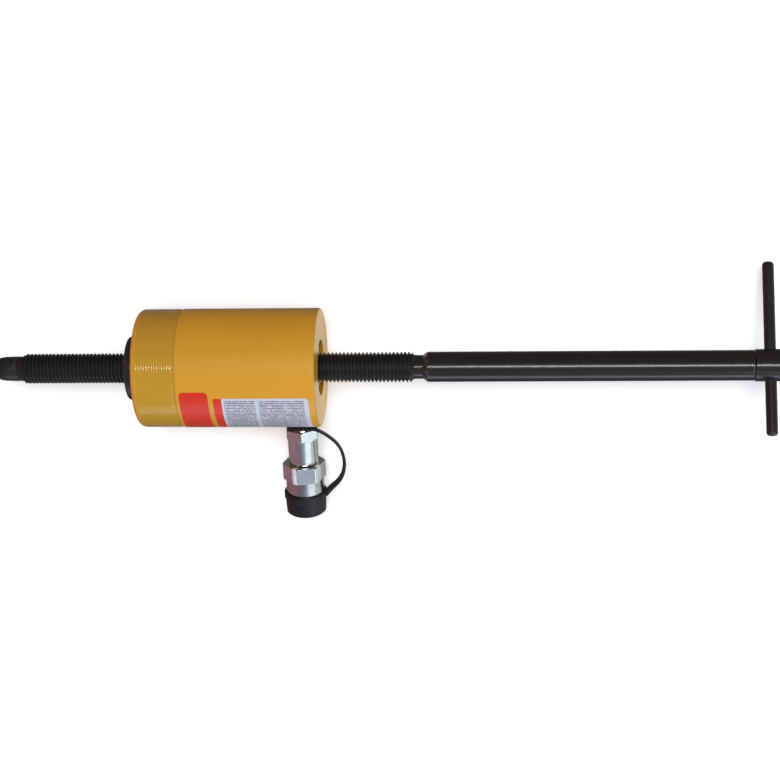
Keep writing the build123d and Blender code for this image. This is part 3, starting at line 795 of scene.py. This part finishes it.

# ================================================================== springs
def coil(name, x0, pitch, turns, radius, wire, matrix=None, seg=12, per_turn=40):
    n = int(turns * per_turn) + 1
    V, F = [], []
    for i in range(n):
        a = 2 * math.pi * i / per_turn
        N = np.array((0.0, math.cos(a), math.sin(a)))
        T = np.array((pitch / (2 * math.pi), -radius * math.sin(a), radius * math.cos(a)))
        T = T / np.linalg.norm(T)
        B = np.cross(T, N)
        c = np.array((x0 + pitch * i / per_turn, 0.0, 0.0)) + N * radius
        for k in range(seg):
            b = 2 * math.pi * k / seg
            V.append(tuple((c + (N * math.cos(b) + B * math.sin(b)) * wire) * MM))
    for i in range(n - 1):
        for k in range(seg):
            a, b = i * seg + k, i * seg + (k + 1) % seg
            F.append((a, b, b + seg, a + seg))
    F.append(tuple(range(seg)))
    F.append(tuple((n - 1) * seg + k for k in range(seg - 1, -1, -1)))
    me = bpy.data.meshes.new(name)
    me.from_pydata(V, [], F)
    bm = bmesh.new(); bm.from_mesh(me)
    bmesh.ops.recalc_face_normals(bm, faces=bm.faces)
    bm.to_mesh(me); bm.free()
    if matrix is not None:
        me.transform(matrix)
    o = bpy.data.objects.new(name, me)
    bpy.context.scene.collection.objects.link(o)
    smooth(o, 50, False)
    return give(o, MAT_SPRING)


spring = coil("return_spring_coil", -125.75, 15.7, 5.0, 31.4, 3.0)
keep(spring, "ram", "spring_steel", "return_spring")
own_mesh(spring)
small = coil("poppet_spring_coil", 96.55, 1.55, 4.0, 5.0, 0.5, COUPLER_M)
keep(small, "ram", "spring_steel", "poppet_spring")
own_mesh(small)

# ================================================================== CAD nodes that keep their own shape
FINISH = {
    "centre_tube": MAT_TUBE, "tube_base_oring": MAT_SEAL, "gland_nut": MAT_SADDLE, "wiper_ring": MAT_SEAL, "plunger": MAT_CHROME,
    "piston_head": MAT_STEEL, "piston_seal": MAT_SEAL, "piston_wear_ring": MAT_BRONZE, "inner_seal": MAT_SEAL,
    "hub_pin": MAT_STEEL, "detent_ball": MAT_STEEL, "detent_spring": MAT_SPRING,
    "detent_grub_screw": MAT_BLACK_BAR, "thrust_ball": MAT_STEEL, "tip_clip": MAT_SPRING, "coupler_body": MAT_ZINC,
    "coupler_snap_ring": MAT_SPRING, "coupler_nose_oring": MAT_SEAL, "coupler_poppet": MAT_STEEL}
for name, mat in FINISH.items():
    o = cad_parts[name]
    o.data.materials.clear()
    o.data.materials.append(mat.m)
    smooth(o, 30, False)

# ================================================================== floor, light, camera
def studio_paper():
    m = Mat("studio_paper")
    m.put("Base Color", m.mix(m.noise(3, 3), (0.90, 0.90, 0.90), (0.93, 0.93, 0.93)))
    m.put("Roughness", 0.9)
    m.b.inputs["Specular IOR Level"].default_value = 0.0
    # the paper glows a little so that it stays pale, most where it curves up into a wall
    m.b.inputs["Emission Color"].default_value = (0.86, 0.87, 0.88, 1)
    m.put("Emission Strength", m.attr("wall"))
    return m


outline = [(0.0, 0.0), (0.4, 0.0), (0.8, 0.0), (1.4, 0.0), (2.2, 0.0), (3.2, 0.0)]
outline += [(3.2 + 1.8 * math.sin(a * math.pi / 24), 1.8 - 1.8 * math.cos(a * math.pi / 24)) for a in range(1, 13)]
outline += [(5.0, 2.6), (5.0, 3.6), (5.0, 4.6)]
verts, faces = [], []
for i, (rr, zz) in enumerate(outline):
    for k in range(96):
        t = 2 * math.pi * k / 96
        verts.append((0.1 + rr * math.cos(t), rr * math.sin(t), FLOOR_Z + zz))
for i in range(len(outline) - 1):
    for k in range(96):
        a, b = i * 96 + k, i * 96 + (k + 1) % 96
        faces.append((a, b, b + 96, a + 96))
me = bpy.data.meshes.new("studio_floor")
me.from_pydata(verts, [], faces)
bm = bmesh.new(); bm.from_mesh(me)
bmesh.ops.remove_doubles(bm, verts=bm.verts[:96], dist=1e-5)
bm.to_mesh(me); bm.free()
floor = bpy.data.objects.new("studio_floor", me)
bpy.context.scene.collection.objects.link(floor)
floor.data.polygons.foreach_set("use_smooth", [True] * len(floor.data.polygons))
co = np.zeros(len(me.vertices) * 3, np.float32)
me.vertices.foreach_get("co", co)
co = co.reshape(-1, 3)
point_attr(floor, "wall", 0.24 + np.clip((np.hypot(co[:, 0] - 0.1, co[:, 1]) - 2.2) / 2.6, 0, 1) * 0.66)
give(floor, studio_paper())
# the paper doesn't bounce light back, so the ram keeps its dark underside and its dark reflections
floor.visible_diffuse = False
floor.visible_glossy = False

CAM = Vector((0.1842968, 0.2283074, 1.5009120))
RIGHT = Vector((0.99650996, -0.01719964, -0.08168275))
UP = Vector((0.00364016, 0.98656506, -0.16332831))
cam_data = bpy.data.cameras.new("camera")
cam_data.sensor_fit = "AUTO"
cam_data.sensor_width = 36.0
cam_data.lens = 84.9525
cam_data.clip_start, cam_data.clip_end = 0.05, 50
cam = bpy.data.objects.new("camera", cam_data)
back = RIGHT.cross(UP)
cam.matrix_world = Matrix((
    (RIGHT.x, UP.x, back.x, CAM.x), (RIGHT.y, UP.y, back.y, CAM.y), (RIGHT.z, UP.z, back.z, CAM.z), (0, 0, 0, 1)))
bpy.context.scene.collection.objects.link(cam)
bpy.context.scene.camera = cam


def area(name, direction, distance, size, power, colour=(1, 1, 1), size_y=None, aim=(0.06, 0, 0)):
    d = bpy.data.lights.new(name, "AREA")
    d.energy, d.size, d.color = power, size, colour
    if size_y:
        d.shape, d.size_y = "RECTANGLE", size_y
    o = bpy.data.objects.new(name, d)
    v = Vector(direction).normalized()
    o.location = Vector(aim) + v * distance
    o.rotation_mode = "QUATERNION"
    o.rotation_quaternion = v.to_track_quat("Z", "Y")
    bpy.context.scene.collection.objects.link(o)
    return o


def sun(name, direction, strength, angle, colour=(1, 1, 1)):
    d = bpy.data.lights.new(name, "SUN")
    d.energy, d.angle, d.color = strength, math.radians(angle), colour
    o = bpy.data.objects.new(name, d)
    o.rotation_mode = "QUATERNION"
    o.rotation_quaternion = Vector(direction).normalized().to_track_quat("Z", "Y")
    bpy.context.scene.collection.objects.link(o)
    return o


key = sun("key", across(104) + Vector((0.04, 0, 0)), 2.5, 34, (1.0, 0.995, 0.985))
key.visible_glossy = False
fill = area("fill_low", across(18) + Vector((0.1, 0, 0)), 1.9, 1.6, 10.6, (0.96, 1.0, 0.96), 0.9)
fill.visible_glossy = False
window = area("window_low", across(8.5) + Vector((0.05, 0, 0)), 2.0, 2.4, 14.0, (0.72, 0.79, 1.0), 0.75)
window.visible_diffuse = False
area("window_right", (0.66, -0.56, 0.49), 1.7, 1.5, 5.2, (0.80, 0.89, 1.0), 1.1)
strip = area("strip_above", CAM - Vector((0.18, 0, 0)) + Vector((0.0, -0.006, 0)), 1.47, 0.80, 7.4, (1, 0.98, 0.96), 0.09, aim=(0.33, 0, 0))
strip.visible_diffuse = False
card = area("card_low", (0, 0, -1), 0.048, 0.052, 0.023, (1.0, 0.92, 0.66), 0.13, aim=(0.029, -0.005, 0))
card.visible_camera = False

world = bpy.data.worlds.new("studio_world")
bpy.context.scene.world = world
world.use_nodes = True
wt = world.node_tree
bg = wt.nodes["Background"]
direction = wt.nodes.new("ShaderNodeTexCoord").outputs["Generated"]


def lobe(axis, power, colour):
    """Soft glow of the room around one direction."""
    dot = wt.nodes.new("ShaderNodeVectorMath")
    dot.operation = "DOT_PRODUCT"
    v = Vector(axis).normalized()
    dot.inputs[1].default_value = v
    wt.links.new(direction, dot.inputs[0])
    p = wt.nodes.new("ShaderNodeMath")
    p.operation, p.use_clamp = "MAXIMUM", False
    p.inputs[1].default_value = 0.0
    wt.links.new(dot.outputs["Value"], p.inputs[0])
    q = wt.nodes.new("ShaderNodeMath")
    q.operation = "POWER"
    q.inputs[1].default_value = power
    wt.links.new(p.outputs[0], q.inputs[0])
    m = wt.nodes.new("ShaderNodeVectorMath")
    m.operation = "SCALE"
    m.inputs[0].default_value = colour
    wt.links.new(q.outputs[0], m.inputs["Scale"])
    return m.outputs[0]


total = None
for part in (lobe((0, 0, 1), 0.001, (0.0, 0.0, 0.0)), lobe((0, 0, -1), 3, (0.22, 0.22, 0.23)), lobe((-1, -0.35, 0.1), 2, (0.36, 0.16, 0.19)),
             lobe((0, -0.6, 0.8), 3, (0.09, 0.105, 0.14)), lobe((0.42, -0.60, 0.68), 10, (0.32, 0.37, 0.46)),
             lobe((0.92, -0.38, -0.22), 6, (0.30, 0.31, 0.29)),
             lobe((1, -0.35, 0.0), 2, (0.42, 0.45, 0.44)), lobe((0, 1, 0.3), 2, (0.085, 0.04, 0.035))):
    if total is None:
        add = wt.nodes.new("ShaderNodeVectorMath")
        add.inputs[0].default_value = (0.055, 0.055, 0.06)
        wt.links.new(part, add.inputs[1])
    else:
        add = wt.nodes.new("ShaderNodeVectorMath")
        wt.links.new(total, add.inputs[0])
        wt.links.new(part, add.inputs[1])
    total = add.outputs[0]
wt.links.new(total, bg.inputs["Color"])
bg.inputs["Strength"].default_value = 1.0
vs = bpy.context.scene.view_settings
vs.view_transform = "Standard"
vs.look = "None"
vs.exposure = 0.0
vs.gamma = 1.0
